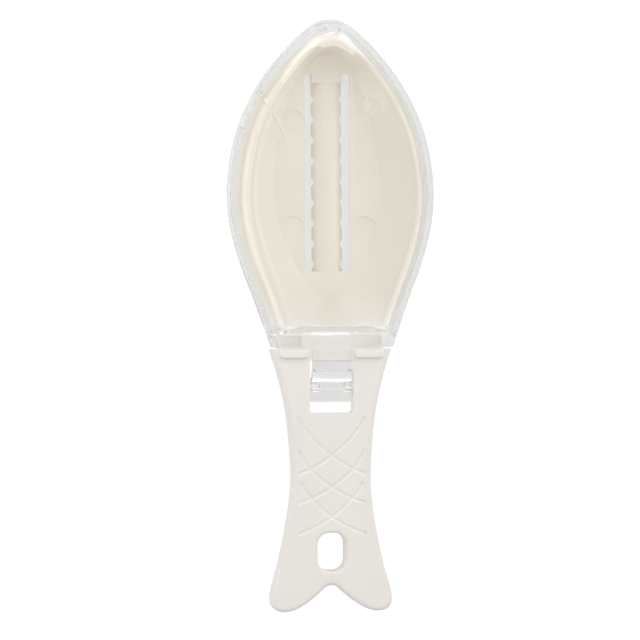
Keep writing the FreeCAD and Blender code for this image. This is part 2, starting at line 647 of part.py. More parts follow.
# --- tongue: arm over the ledge, step down to the barrel, press pad behind it
hy, hz, br = D["hinge_pos"], D["hinge_height"], D["barrel_radius"]
sk = sketch(lid, "tongue_profile", "YZ_Plane")
r0 = math.hypot(9.6 - hz, -23.8 - hy)                 # the barrel's radius, through the arm's foot
mid = (hy + r0 * math.cos(math.radians(-60)), hz + r0 * math.sin(math.radians(-60)))
pad_low, pad_top = 7.4, 10.3
join = (hy - math.sqrt(r0 ** 2 - (hz - pad_low) ** 2), pad_low)
sk.addGeometry(L(V(FLANGE_BACK + 1.5, 12.95), V(-20.4, 12.95)), False)
sk.addGeometry(L(V(-20.4, 12.95), V(-23.8, 9.6)), False)
sk.addGeometry(A(V(-23.8, 9.6), V(*mid), V(*join)), False)
sk.addGeometry(L(V(*join), V(-32.1, pad_low)), False)
sk.addGeometry(A(V(-32.1, pad_low), V(-33.3, (pad_low + pad_top) / 2), V(-32.1, pad_top)), False)
join_t = (hy - math.sqrt(r0 ** 2 - (pad_top - hz) ** 2), pad_top)
sk.addGeometry(L(V(-32.1, pad_top), V(*join_t)), False)
top_mid = (hy + r0 * math.cos(math.radians(115)), hz + r0 * math.sin(math.radians(115)))
top_end = (hy + r0 * math.cos(math.radians(70)), hz + r0 * math.sin(math.radians(70)))
sk.addGeometry(A(V(*join_t), V(*top_mid), V(*top_end)), False)
sk.addGeometry(L(V(*top_end), V(-21.6, 14.55)), False)
sk.addGeometry(L(V(-21.6, 14.55), V(FLANGE_BACK + 1.5, 14.55)), False)
sk.addGeometry(L(V(FLANGE_BACK + 1.5, 14.55), V(FLANGE_BACK + 1.5, 12.95)), False)
pad(lid, "tongue", sk, 2 * D["tongue_half"], "2 * Dims.tongue_half", midplane=True)

# --- sockets for the stub pins
for i, s in enumerate((-1, 1)):
    sk = sketch(lid, "socket_circle_%d" % (i + 1), "YZ_Plane", lift=s * (D["tongue_half"] + 0.5))
    sk.addGeometry(Part.Circle(Vector(hy, hz, 0), Vector(0, 0, 1), D["socket_radius"]), False)
    pocket(lid, "socket_%d" % (i + 1), sk, 3.3, reverse=(s < 0))

# --- catch on the nose: a small hook under the lug, below a moulding hole in the nose
sk = sketch(lid, "catch_outline", lift=D["skirt_low"])
box2(sk, -4.4, nose_y + 0.5, 4.4, 113.6)
pad(lid, "catch", sk, 1.8)
sk = sketch(lid, "nose_hole_outline", lift=13.0)
polygon(sk, [(-2.7, 112.2), (2.7, 112.2), (1.6, 108.7), (-1.6, 108.7)])
pocket(lid, "nose_hole", sk, 20.0, reverse=True)

# --- eye: two low rings on the dome
for i, r in enumerate((4.3, 2.7)):
    sk = sketch(lid, "eye_ring_%d" % (i + 1), lift=25.4)
    sk.addGeometry(Part.Circle(Vector(15.9, 81.3, 0), Vector(0, 0, 1), r + 0.3), False)
    sk.addGeometry(Part.Circle(Vector(15.9, 81.3, 0), Vector(0, 0, 1), r - 0.3), False)
    pad(lid, "eye_%d" % (i + 1), sk, 0.85)

# ---------------------------------------------------------------- write
doc.recompute()
for o in doc.Objects:
    if any(s in o.State for s in ("Invalid", "Error")):
        raise RuntimeError("%s: %s" % (o.Name, o.State))
os.makedirs("parts", exist_ok=True)
for body in (base, lid):
    s = body.Shape
    if s.isNull() or not s.isValid() or len(s.Solids) != 1:
        raise RuntimeError("%s: null, invalid or %d solids" % (body.Label, len(s.Solids)))
    b = s.BoundBox
    print("%s: X %.2f..%.2f Y %.2f..%.2f Z %.2f..%.2f volume %.1f mm3" % (
        body.Label, b.XMin, b.XMax, b.YMin, b.YMax, b.ZMin, b.ZMax, s.Volume))
    s.exportStep(os.path.join("parts", body.Label + ".step"))
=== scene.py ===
import math

import bmesh
import bpy
import numpy as np
from mathutils import Matrix, Vector
from mathutils.bvhtree import BVHTree
from mathutils.geometry import delaunay_2d_cdt


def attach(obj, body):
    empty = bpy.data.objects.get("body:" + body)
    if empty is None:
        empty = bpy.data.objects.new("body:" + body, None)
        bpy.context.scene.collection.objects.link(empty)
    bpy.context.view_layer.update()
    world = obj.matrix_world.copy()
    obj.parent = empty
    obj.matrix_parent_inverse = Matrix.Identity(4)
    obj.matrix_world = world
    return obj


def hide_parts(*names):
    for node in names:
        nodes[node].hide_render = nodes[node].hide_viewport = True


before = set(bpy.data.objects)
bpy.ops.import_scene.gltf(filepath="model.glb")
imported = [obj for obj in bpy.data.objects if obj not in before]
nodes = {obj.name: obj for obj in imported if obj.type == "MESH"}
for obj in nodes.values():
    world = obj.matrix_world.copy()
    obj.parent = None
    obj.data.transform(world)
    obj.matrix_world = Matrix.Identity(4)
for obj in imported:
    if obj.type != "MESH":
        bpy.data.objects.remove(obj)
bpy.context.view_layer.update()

MM = 0.001
scene = bpy.context.scene


# ---------------------------------------------------------------- materials
HANDLE_TONE = (0.855, 0.815, 0.765, 1)
# the pan's colour is the ivory painted darker and warmer, as painted shade and bounce light of the hollow
PAN_PAINTED_SHADE_TONE = (0.805, 0.740, 0.642, 1)


def material(name):
    m = bpy.data.materials.new(name)
    m.use_nodes = True
    nt = m.node_tree
    nt.nodes.clear()
    out = nt.nodes.new("ShaderNodeOutputMaterial")
    p = nt.nodes.new("ShaderNodeBsdfPrincipled")
    nt.links.new(p.outputs["BSDF"], out.inputs["Surface"])
    return m, nt, p, out


def node(nt, kind, **inputs):
    n = nt.nodes.new(kind)
    for k, v in inputs.items():
        n.inputs[k.replace("_", " ")].default_value = v
    return n


def ivory():
    m, nt, p, out = material("ivory_plastic")
    p.inputs["Roughness"].default_value = 0.36
    p.inputs["IOR"].default_value = 1.49
    co = nt.nodes.new("ShaderNodeTexCoord")
    # painted shade and bounce light: the pan is painted darker and warmer than the handle, standing in for the shade
    # and warm light bounced inside its hollow
    xyz = nt.nodes.new("ShaderNodeSeparateXYZ")
    nt.links.new(co.outputs["Object"], xyz.inputs[0])
    pan_shade_mask = nt.nodes.new("ShaderNodeMapRange")
    pan_shade_mask.interpolation_type = "SMOOTHSTEP"
    pan_shade_mask.inputs["From Min"].default_value = -0.014
    pan_shade_mask.inputs["From Max"].default_value = 0.012
    nt.links.new(xyz.outputs["Y"], pan_shade_mask.inputs["Value"])
    tone = nt.nodes.new("ShaderNodeMix")
    tone.data_type = "RGBA"
    tone.inputs["A"].default_value = HANDLE_TONE
    tone.inputs["B"].default_value = PAN_PAINTED_SHADE_TONE
    nt.links.new(pan_shade_mask.outputs["Result"], tone.inputs["Factor"])
    # faint clouding of the moulded resin
    noise = node(nt, "ShaderNodeTexNoise", Scale=42.0, Detail=3.0, Roughness=0.55)
    nt.links.new(co.outputs["Object"], noise.inputs["Vector"])
    cloud = nt.nodes.new("ShaderNodeMapRange")
    cloud.inputs["From Min"].default_value = 0.25
    cloud.inputs["From Max"].default_value = 0.75
    cloud.inputs["To Min"].default_value = 0.985
    cloud.inputs["To Max"].default_value = 1.012
    nt.links.new(noise.outputs["Fac"], cloud.inputs["Value"])
    mul = nt.nodes.new("ShaderNodeVectorMath")
    mul.operation = "SCALE"
    nt.links.new(tone.outputs["Result"], mul.inputs[0])
    nt.links.new(cloud.outputs["Result"], mul.inputs["Scale"])
    nt.links.new(mul.outputs["Vector"], p.inputs["Base Color"])
    # satin: a fine spark-eroded grain in roughness and height
    grain = node(nt, "ShaderNodeTexNoise", Scale=2600.0, Detail=2.0, Roughness=0.6)
    nt.links.new(co.outputs["Object"], grain.inputs["Vector"])
    rough = nt.nodes.new("ShaderNodeMapRange")
    rough.inputs["To Min"].default_value = 0.32
    rough.inputs["To Max"].default_value = 0.42
    nt.links.new(grain.outputs["Fac"], rough.inputs["Value"])
    nt.links.new(rough.outputs["Result"], p.inputs["Roughness"])
    bump = node(nt, "ShaderNodeBump", Strength=0.06, Distance=0.0001)
    nt.links.new(grain.outputs["Fac"], bump.inputs["Height"])
    nt.links.new(bump.outputs["Normal"], p.inputs["Normal"])
    return m


def clear():
    m, nt, p, out = material("clear_plastic")
    p.inputs["Base Color"].default_value = (0.875, 0.885, 0.885, 1)
    p.inputs["Roughness"].default_value = 0.02
    p.inputs["IOR"].default_value = 1.5
    p.inputs["Transmission Weight"].default_value = 1.0
    path = nt.nodes.new("ShaderNodeLightPath")
    tr = nt.nodes.new("ShaderNodeBsdfTransparent")
    tr.inputs["Color"].default_value = (1.0, 1.0, 1.0, 1)
    mix = nt.nodes.new("ShaderNodeMixShader")
    nt.links.new(path.outputs["Is Shadow Ray"], mix.inputs[0])
    nt.links.new(p.outputs["BSDF"], mix.inputs[1])
    nt.links.new(tr.outputs["BSDF"], mix.inputs[2])
    nt.links.new(mix.outputs["Shader"], out.inputs["Surface"])
    return m


IVORY, CLEAR = ivory(), clear()


# ---------------------------------------------------------------- mesh helpers
def new_object(name, verts, faces, mat=None):
    me = bpy.data.meshes.new(name)
    me.from_pydata([(x * MM, y * MM, z * MM) for x, y, z in verts], [], faces)
    me.update()
    if mat:
        me.materials.append(mat)
    o = bpy.data.objects.new(name, me)
    scene.collection.objects.link(o)
    return o


def outward(o):
    """Faces turned outwards and checked as one closed surface."""
    bm = bmesh.new()
    bm.from_mesh(o.data)
    bmesh.ops.remove_doubles(bm, verts=bm.verts, dist=1e-7)
    bmesh.ops.recalc_face_normals(bm, faces=bm.faces)
    if bm.calc_volume(signed=True) < 0:
        bmesh.ops.reverse_faces(bm, faces=bm.faces)
    bad = sum(1 for e in bm.edges if len(e.link_faces) != 2)
    bm.to_mesh(o.data)
    bm.free()
    if bad:
        print("OPEN", o.name, bad)
    return o


def boolean(o, cutter, how):
    m = o.modifiers.new("b", "BOOLEAN")
    m.operation = how
    m.solver = "EXACT"
    m.object = cutter
    dg = bpy.context.evaluated_depsgraph_get()
    me = bpy.data.meshes.new_from_object(o.evaluated_get(dg))
    o.modifiers.clear()
    old = o.data
    o.data = me
    bpy.data.meshes.remove(old)
    bpy.data.objects.remove(cutter)
    return o


def smooth_by_angle(o, degrees):
    bm = bmesh.new()
    bm.from_mesh(o.data)
    lim = math.radians(degrees)
    for f in bm.faces:
        f.smooth = True
    for e in bm.edges:
        e.smooth = len(e.link_faces) == 2 and e.calc_face_angle(0.0) < lim
    bm.to_mesh(o.data)
    bm.free()
    o.data.update()


def cubic(points, per):
    """Dense points on a natural cubic spline through the points, with unit tangents."""
    p = np.array(points, float)
    h = np.hypot(*np.diff(p, axis=0).T)
    n = len(p)
    a = np.zeros((n, n))
    r = np.zeros((n, 2))
    a[0, 0] = a[-1, -1] = 1
    for i in range(1, n - 1):
        a[i, i - 1], a[i, i], a[i, i + 1] = h[i - 1], 2 * (h[i - 1] + h[i]), h[i]
        r[i] = 6 * ((p[i + 1] - p[i]) / h[i] - (p[i] - p[i - 1]) / h[i - 1])
    m = np.linalg.solve(a, r)
    out = []
    for i in range(n - 1):
        for k in range(per + (i == n - 2)):
            t = h[i] * k / per
            b = (p[i + 1] - p[i]) / h[i] - h[i] * (2 * m[i] + m[i + 1]) / 6
            out.append(p[i] + b * t + m[i] / 2 * t * t + (m[i + 1] - m[i]) / (6 * h[i]) * t ** 3)
    out = np.array(out)
    d = np.gradient(out, axis=0)
    d /= np.linalg.norm(d, axis=1)[:, None]
    return out, d


# ---------------------------------------------------------------- the clear cover
# Half width of the closed scaler along Y, nose first
OUTLINE = [
    (115.0, 0.0), (114.45, 4.0), (112.6, 7.8), (109.4, 11.9), (104.7, 16.5), (100.1, 20.6),
    (95.4, 24.3), (90.8, 27.5), (86.1, 30.3), (80.3, 33.3), (74.5, 35.7), (67.5, 37.8),
    (60.5, 39.2), (53.6, 40.05), (46.0, 40.35), (39.65, 39.95), (32.7, 38.8), (25.7, 37.0),
    (18.7, 34.8), (11.76, 32.2), (4.8, 29.6), (-2.2, 27.15), (-9.2, 24.8), (-16.1, 22.6),
    (-23.1, 20.5), (-30.1, 18.8),
]
mirrored = [(-x, y) for y, x in OUTLINE[:0:-1]] + [(x, y) for y, x in OUTLINE]
pts, tan = cubic(mirrored, 48)
mid = len(OUTLINE[:0:-1]) * 48
side, side_t = pts[mid:][::-1], -tan[mid:][::-1]          # right side, rear to nose
side_n = np.stack([side_t[:, 1], -side_t[:, 0]], 1)        # outwards
side_n[-1] = (0, 1)
run = np.concatenate([[0], np.cumsum(np.hypot(*np.diff(side, axis=0).T))])

N_REAR, N_ARC, N_SIDE = 20, 8, 264


def half_ring(inset, rear, corner):
    """Right half of one ring, from the middle of its rear to the nose."""
    p = side - side_n * inset
    # where the offset folds over itself at the nose it is cut off at the middle line
    going = np.sum(np.diff(p, axis=0) * side_t[:-1], axis=1) > 1e-4
    keep = int(np.argmin(going)) if not going.all() else len(p) - 1
    tip = float(np.max(p[:, 1])) if keep == len(p) - 1 else float(p[keep, 1]) + 0.35 * float(p[keep, 0])
    far = run[-1] - run[keep]
    for i in range(keep + 1, len(p)):
        f = (run[i] - run[keep]) / far
        p[i] = (p[keep, 0] * (1 - f), p[keep, 1] + (tip - p[keep, 1]) * (1 - (1 - f) ** 2))
    # where the side is one corner radius ahead of the rear line
    y_c = rear + corner
    s_c = np.interp(y_c, p[:, 1], run)
    x_c = np.interp(s_c, run, p[:, 0])
    n_c = np.array([np.interp(s_c, run, side_n[:, 0]), np.interp(s_c, run, side_n[:, 1])])
    end = math.atan2(n_c[1], n_c[0])
    cx, cy = x_c - corner * math.cos(end), rear + corner
    dy = cy + corner * math.sin(end)
    s_c = np.interp(dy, p[:, 1], run)
    cx = np.interp(s_c, run, p[:, 0]) - corner * math.cos(end)
    out = [(cx * i / N_REAR, rear) for i in range(N_REAR)]
    for i in range(N_ARC):
        a = -math.pi / 2 + (end + math.pi / 2) * i / N_ARC
        out.append((cx + corner * math.cos(a), cy + corner * math.sin(a)))
    u = np.arange(N_SIDE + 1) / N_SIDE
    s0 = S_BASE
    s = s0 + (run[-1] - s0) * u + (s_c - s0) * (1 - u) ** 5
    x, y = np.interp(s, run, p[:, 0]), np.interp(s, run, p[:, 1])
    x[-1] = 0.0
    out += list(zip(x, y))
    return np.array(out)


S_BASE = np.interp(-3.0, side[:, 1], run)
HALF = N_REAR + N_ARC + N_SIDE            # index of the nose
# how far each point belongs to the rear, from 1 at the rear and its corner to 0 on the side
REARNESS = np.array([1.0] * (N_REAR + N_ARC) + [
    float(np.clip(1.0 - i / 13.0, 0, 1)) for i in range(N_SIDE + 1)])
REARNESS = REARNESS * REARNESS * (3 - 2 * REARNESS)


def full_ring(inset, rear, corner, z, z_rear=None):
    h = half_ring(inset, rear, corner)
    zr = z if z_rear is None else z_rear
    zz = z + (zr - z) * REARNESS
    right = [(x, y, c) for (x, y), c in zip(h, zz)]
    left = [(-x, y, c) for (x, y, c) in right[1:-1]][::-1]
    full = np.array(right + left)             # counter-clockwise from the rear's middle
    # the nose of an inset ring is rounded off
    reach = 1.1 * max(0.0, inset)
    if reach > 0.5:
        n = int(3 * reach) + 2
        k = np.exp(-0.5 * (np.arange(-n, n + 1) / reach) ** 2)
        k /= k.sum()
        span = min(3 * n + 24, 180)
        a = np.arange(HALF - span - n, HALF + span + n + 1)
        part = full[a, :2]
        soft = np.stack([np.convolve(part[:, 0], k, "valid"), np.convolve(part[:, 1], k, "valid")], 1)
        i = np.arange(HALF - span, HALF + span + 1)
        w = np.clip((span - np.abs(i - HALF)) / (0.5 * span), 0, 1)[:, None]
        full[i, :2] = full[i, :2] * (1 - w) + soft * w
        full[HALF, 0] = 0.0
    return [tuple(map(float, q)) for q in full]


RING = 2 * HALF


def profile(rows, per, keep=()):
    """Rows (z, inset, rear) made dense by a spline."""
    p = np.array(rows, float)
    key = np.stack([p[:, 1], p[:, 0]], 1)
    h = np.concatenate([[0], np.cumsum(np.hypot(*np.diff(key, axis=0).T))])
    t = np.linspace(0, h[-1], per)
    out = []
    for c in (0, 1, 2):
        q, _ = cubic(np.stack([h, p[:, c]], 1), 24)
        out.append(np.interp(t, q[:, 0], q[:, 1]))
    return list(zip(*out))


DOME = [(15.1, 0.93, -7.45), (16.4, 1.05, -7.35), (18.6, 1.5, -7.15), (20.8, 2.5, -6.85), (22.8, 4.1, -6.4),
        (24.4, 6.2, -5.8), (25.5, 8.0, -5.1), (25.82, 8.75, -4.8), (25.96, 9.3, -4.5), (26.0, 9.6, -4.25)]
INNER = [(14.4, 2.2, -6.3), (16.4, 2.3, -6.2), (18.5, 2.72, -6.0), (20.4, 3.62, -5.75), (22.15, 5.05, -5.4),
         (23.5, 6.85, -4.95), (24.35, 8.7, -4.4), (24.62, 9.5, -4.1), (24.73, 10.1, -3.8), (24.75, 10.5, -3.5)]


def corner_of(inset):
    return 1.3 + 0.32 * inset


def outer_rows(drop=0.0, shrink=0.0, bottom=None):
    rows = []
    if bottom is None:
        e = 0.45                               # rounding of the lower edge
        for k in range(6):
            a = math.pi / 2 * k / 5
            rows.append(full_ring(e * (1 - math.sin(a)), -12.1 + e * (1 - math.sin(a)), 0.9,
                                  10.5 + e * (1 - math.cos(a)), 12.92 + e * (1 - math.cos(a))))
        rows.append(full_ring(0, -12.1, 0.9, 12.4, 13.6))
        r = 0.6
        for k in range(8):
            a = math.pi / 2 * k / 7
            rows.append(full_ring(r * (1 - math.cos(a)), -12.1 + r * (1 - math.cos(a)), 0.9,
                                  14.6 - r + r * math.sin(a)))
        rows.append(full_ring(0.68, -8.2, 1.6, 14.61))
        rows.append(full_ring(0.78, -7.75, 1.6, 14.66))
        rows.append(full_ring(0.86, -7.56, 1.6, 14.8))
    else:
        rows.append(full_ring(0.9 + shrink, -7.5 + shrink, 1.6, bottom))
    for z, inset, rear in profile(DOME, 30):
        k = (z - 15.1) / (26.0 - 15.1)
        rows.append(full_ring(inset + shrink * (1 - 0.6 * k), rear + shrink, corner_of(inset), z - drop * (0.2 + 0.8 * k ** 1.5)))
    rows.append([(x, y, rows[-1][0][2]) for x, y, _z in full_ring(9.85 + shrink * 0.4, -3.95 + shrink, corner_of(9.85), 26.0)])
    return rows


def inner_rows():
    rows = []
    e = 0.25
    for k in range(3):                         # inside the lower edge
        a = math.pi / 2 * k / 2
        rows.append(full_ring(1.6 - e + e * math.sin(a), -11.4 + e * math.sin(a), 0.7,
                              10.5 + e * (1 - math.cos(a)), 12.92 + 0.05 * (1 - math.cos(a))))
    rows.append(full_ring(1.6, -6.95, 1.0, 12.75, 12.97))
    rows.append(full_ring(1.72, -6.8, 1.0, 12.97))
    rows.append(full_ring(1.95, -6.65, 1.0, 13.02, 13.1))
    rows.append(full_ring(2.08, -6.5, 1.0, 13.25, 13.35))
    rows.append(full_ring(2.16, -6.38, 1.1, 13.9))
    for z, inset, rear in profile(INNER, 24):
        rows.append(full_ring(inset, rear, corner_of(inset) - 0.9, z))
    rows.append(full_ring(10.8, -3.15, corner_of(10.8) - 0.9, 24.75))
    return rows


def stitch(rows, verts, faces):
    base = len(verts)
    for r in rows:
        verts.extend(r)
    for j in range(len(rows) - 1):
        for i in range(RING):
            k = (i + 1) % RING
            a, b = base + j * RING, base + (j + 1) * RING
            faces.append((a + i, a + k, b + k, b + i))
    return base, base + (len(rows) - 1) * RING


def bridge(a, b, faces):
    for i in range(RING):
        k = (i + 1) % RING
        faces.append((a + i, a + k, b + k, b + i))


def cap(first, verts, faces, z, rings=()):
    """Fills a flat ring. rings are (centre, [(radius, z), ...]) of raised round marks, outermost radius first."""
    pts2 = [Vector(verts[first + i][:2]) for i in range(RING)]
    ids = list(range(first, first + RING))
    edges = [(i, (i + 1) % RING) for i in range(RING)]
    M = 96
    for (cx, cy), marks in rings:
        start = None
        for r, h in marks:
            b = len(verts)
            for i in range(M):
                a = 2 * math.pi * i / M
                verts.append((cx + r * math.cos(a), cy + r * math.sin(a), z + h))
            if start is not None:
                for i in range(M):
                    k = (i + 1) % M
                    faces.append((start + i, start + k, b + k, b + i))
            else:
                s = len(pts2)
                for i in range(M):
                    pts2.append(Vector(verts[b + i][:2]))
                    ids.append(b + i)
                edges += [(s + i, s + (i + 1) % M) for i in range(M)]
                hole = (cx, cy, r)
            start = b
        verts.append((cx, cy, z))
        for i in range(M):
            faces.append((start + i, start + (i + 1) % M, len(verts) - 1))
    # a few loose points keep the triangles well shaped
    extra = []
    for y in np.arange(4, 104, 6.0):
        w = np.interp(y, [p.y for p in pts2[:HALF + 1]], [p.x for p in pts2[:HALF + 1]])
        for x in np.arange(-36, 37, 6.0):
            if abs(x) < w - 3 and all((x - c[0][0]) ** 2 + (y - c[0][1]) ** 2 > 49 for c in rings):
                extra.append((x, y))
    for x, y in extra:
        pts2.append(Vector((x, y)))
        ids.append(len(verts))
        verts.append((x, y, z))
    v2, e2, f2, ov, oe, of = delaunay_2d_cdt(pts2, edges, [], 0, 1e-6)
    back = {}
    for i, src in enumerate(ov):
        back[i] = ids[src[0]]
    ring2 = [(verts[first + i][0], verts[first + i][1]) for i in range(RING)]

    def inside(x, y):
        c = False
        for i in range(RING):
            (x0, y0), (x1, y1) = ring2[i], ring2[(i + 1) % RING]
            if (y0 > y) != (y1 > y) and x < (x1 - x0) * (y - y0) / (y1 - y0) + x0:
                c = not c
        return c

    for f in f2:
        cx = sum(v2[i].x for i in f) / 3
        cy = sum(v2[i].y for i in f) / 3
        if any((cx - c[0][0]) ** 2 + (cy - c[0][1]) ** 2 < (c[1][0][0] * math.cos(math.pi / M)) ** 2 for c in rings):
            continue
        if inside(cx, cy):
            faces.append(tuple(back[i] for i in f))


def prism(name, poly, z0, z1, grow=0.0):
    """Upright prism; grow widens its top."""
    cx = sum(p[0] for p in poly) / len(poly)
    cy = sum(p[1] for p in poly) / len(poly)
    n = len(poly)
    v = [(x, y, z0) for x, y in poly] + [(cx + (x - cx) * (1 + grow), cy + (y - cy) * (1 + grow), z1) for x, y in poly]
    f = [tuple(range(n))[::-1], tuple(range(n, 2 * n))] + [(i, (i + 1) % n, n + (i + 1) % n, n + i) for i in range(n)]
    return outward(new_object(name, v, f))


def bead(o, corners, radius, rise):
    """Low round bead along a line on the top of o."""
    tree = BVHTree.FromPolygons([v.co / MM for v in o.data.vertices], [tuple(f.vertices) for f in o.data.polygons])
    line = []
    for (x0, y0), (x1, y1) in zip(corners, corners[1:]):
        n = int(math.hypot(x1 - x0, y1 - y0) / 0.35)
        line += [(x0 + (x1 - x0) * i / n, y0 + (y1 - y0) * i / n) for i in range(n)]
    line.append(corners[-1])
    for _ in range(2):                        # the corner softened
        line = [line[0]] + [((a[0] + 2 * b[0] + c[0]) / 4, (a[1] + 2 * b[1] + c[1]) / 4)
                            for a, b, c in zip(line, line[1:], line[2:])] + [line[-1]]
    mids = []
    for x, y in line:
        hit, n, _i, _d = tree.ray_cast(Vector((x, y, 60.0)), Vector((0, 0, -1)))
        if hit and hit.z > 16.6:
            mids.append(hit - n * (radius - rise))
    M = 24
    v, f = [], []
    for i, c in enumerate(mids):
        t = (mids[min(i + 1, len(mids) - 1)] - mids[max(i - 1, 0)]).normalized()
        a = t.cross(Vector((0, 0, 1))).normalized()
        b = a.cross(t)
        for k in range(M):
            w = 2 * math.pi * k / M
            v.append(tuple(c + (a * math.cos(w) + b * math.sin(w)) * radius))
    for i in range(len(mids) - 1):
        for k in range(M):
            n = (k + 1) % M
            f.append((i * M + k, i * M + n, (i + 1) * M + n, (i + 1) * M + k))
    f.append(tuple(range(M))[::-1])
    f.append(tuple((len(mids) - 1) * M + k for k in range(M)))
    return outward(new_object("bead", v, f))


def rounded(poly, radii, seg=6):
    """A polygon's corners rounded."""
    out = []
    n = len(poly)
    for i in range(n):
        p, a, b = Vector(poly[i]), Vector(poly[i - 1]), Vector(poly[(i + 1) % n])
        r = radii[i] if isinstance(radii, (list, tuple)) else radii
        if r <= 0:
            out.append(tuple(p))
            continue
        u, w = (a - p).normalized(), (b - p).normalized()
        ang = u.angle(w)
        d = min(r / math.tan(ang / 2), (a - p).length * 0.48, (b - p).length * 0.48)
        r = d * math.tan(ang / 2)
        c = p + (u + w).normalized() * (r / math.sin(ang / 2))
        s, e = p + u * d - c, p + w * d - c
        a0 = math.atan2(s.y, s.x)
        da = math.atan2(e.y, e.x) - a0
        while da > math.pi:
            da -= 2 * math.pi
        while da < -math.pi:
            da += 2 * math.pi
        for k in range(seg + 1):
            t = a0 + da * k / seg
            out.append((c.x + r * math.cos(t), c.y + r * math.sin(t)))
    return out


def slab(name, poly, half, edge, lift=0.0):
    """A YZ profile carried along X to +-half, its two side edges rounded."""
    n = len(poly)
    p = [Vector(q) for q in poly]
    area = sum(p[i].x * p[(i + 1) % n].y - p[(i + 1) % n].x * p[i].y for i in range(n))
    if area < 0:
        p.reverse()
    norm = []
    for i in range(n):
        t = (p[(i + 1) % n] - p[i - 1]).normalized()
        norm.append(Vector((t.y, -t.x)))
    verts, faces = [], []
    steps = []
    for k in range(5):
        a = math.pi / 2 * k / 4
        steps.append((-half + edge * (1 - math.sin(a)), edge * (1 - math.cos(a))))
    levels = [(x, d) for x, d in steps[::-1]][::-1]
    sections = [(-half + edge * (1 - math.cos(a)), edge * (1 - math.sin(a)))
                for a in [math.pi / 2 * k / 4 for k in range(5)]]
    sections += [(-x, d) for x, d in sections[::-1]]
    for x, d in sections:
        for i in range(n):
            q = p[i] - norm[i] * d
            verts.append((x, q.x, q.y + lift))
    for j in range(len(sections) - 1):
        for i in range(n):
            k = (i + 1) % n
            faces.append((j * n + i, j * n + k, (j + 1) * n + k, (j + 1) * n + i))
    faces.append(tuple(range(n))[::-1])
    last = (len(sections) - 1) * n
    faces.append(tuple(last + i for i in range(n)))
    return outward(new_object(name, verts, faces))


def make_cover():
    verts, faces = [], []
    # outer skin, lower edge to crown
    b0, top = stitch(outer_rows(), verts, faces)
    eye = []
    for r in (4.15, 2.55):
        for k in range(13):
            a = math.pi * k / 12
            eye.append((r + 0.58 * math.cos(a), 0.15 * (1 - math.cos(2 * a))))
    cap(top, verts, faces, 26.0, [((15.9, 81.3), eye)])
    # inner skin
    b1, top1 = stitch(inner_rows(), verts, faces)
    cap(top1, verts, faces, 24.75)
    bridge(b0, b1, faces)
    cover = outward(new_object("clear_cover", verts, faces, CLEAR))

    # mouth: a shallow wedge let into the shoulder
    lv, lf = [], []
    a0, t0 = stitch(outer_rows(drop=0.6, shrink=0.45, bottom=13.2), lv, lf)
    cap(t0, lv, lf, lv[t0][2])
    lf.append(tuple(a0 + i for i in range(RING))[::-1])
    low = outward(new_object("low", lv, lf))
    wedge = prism("wedge", rounded([(-18.3, 67.35), (-31.9, 91.4), (-42.0, 80.0), (-40.6, 75.9)], [0.5, 0, 0, 0]), 15.0, 30.0)
    wedge = boolean(wedge, low, "DIFFERENCE")
    lips = [bead(cover, [(-17.7, 66.8), end], 0.78, 0.30) for end in ((-30.9, 91.0), (-39.3, 74.9))]
    for lip in lips:
        cover = boolean(cover, lip, "UNION")
    cover = boolean(cover, wedge, "DIFFERENCE")

    # tongue: arm, step, barrel round the pins, press pad
    hy, hz = -26.8, 9.0
    r0 = math.hypot(9.6 - hz, -23.8 - hy)
    low_z, top_z = 7.4, 10.3
    poly = [(-9.8, 12.97), (-20.4, 12.97)]
    poly += [(-23.8 + 0.25, 9.85)]
    a_start = math.atan2(9.6 - hz, -23.8 - hy)
    join = -math.pi + math.asin((hz - low_z) / r0)
    for k in range(15):
        a = a_start + (join - a_start) * k / 14
        poly.append((hy + r0 * math.cos(a), hz + r0 * math.sin(a)))
    poly += rounded([(-31.0, low_z), (-33.3, low_z), (-33.3, top_z), (-31.0, top_z)], [0, 1.0, 1.0, 0])[1:-1]
    a0_ = math.pi - math.asin((top_z - hz) / r0)
    a1_ = math.radians(70)
    for k in range(13):
        a = a0_ + (a1_ - a0_) * k / 12
        poly.append((hy + r0 * math.cos(a), hz + r0 * math.sin(a)))
    poly += [(-22.0, 14.2), (-21.55, 14.5), (-21.1, 14.55), (-9.8, 14.55)]
    tongue = slab("tongue", poly, 7.9, 0.45)
    for s in (-1, 1):
        v, f = [], []
        for x in (4.6, 9.0):
            for i in range(48):
                a = 2 * math.pi * i / 48
                v.append((s * x, hy + 1.87 * math.cos(a), hz + 1.87 * math.sin(a)))
        f = [tuple(range(48)), tuple(range(48, 96))] + [(i, (i + 1) % 48, 48 + (i + 1) % 48, 48 + i) for i in range(48)]
        tongue = boolean(tongue, outward(new_object("socket", v, f)), "DIFFERENCE")
    cover = boolean(cover, tongue, "UNION")

    # catch under the nose, with the moulding hole above it
    catch = prism("catch", [(-4.4, 110.4), (4.4, 110.4), (4.4, 113.6), (-4.4, 113.6)], 10.52, 12.3)
    cover = boolean(cover, catch, "UNION")
    hole = prism("hole", rounded([(-2.7, 112.2), (2.7, 112.2), (1.6, 108.7), (-1.6, 108.7)], 0.3, 3), 13.0, 33.0)
    cover = boolean(cover, hole, "DIFFERENCE")
    outward(cover)
    smooth_by_angle(cover, 32)
    if not cover.data.materials:
        cover.data.materials.append(CLEAR)
    for p in cover.data.polygons:
        p.material_index = 0
    return cover


cover = make_cover()
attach(cover, "cover")
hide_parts("lid")

base = nodes["base"]
for s in base.material_slots:
    s.material = IVORY

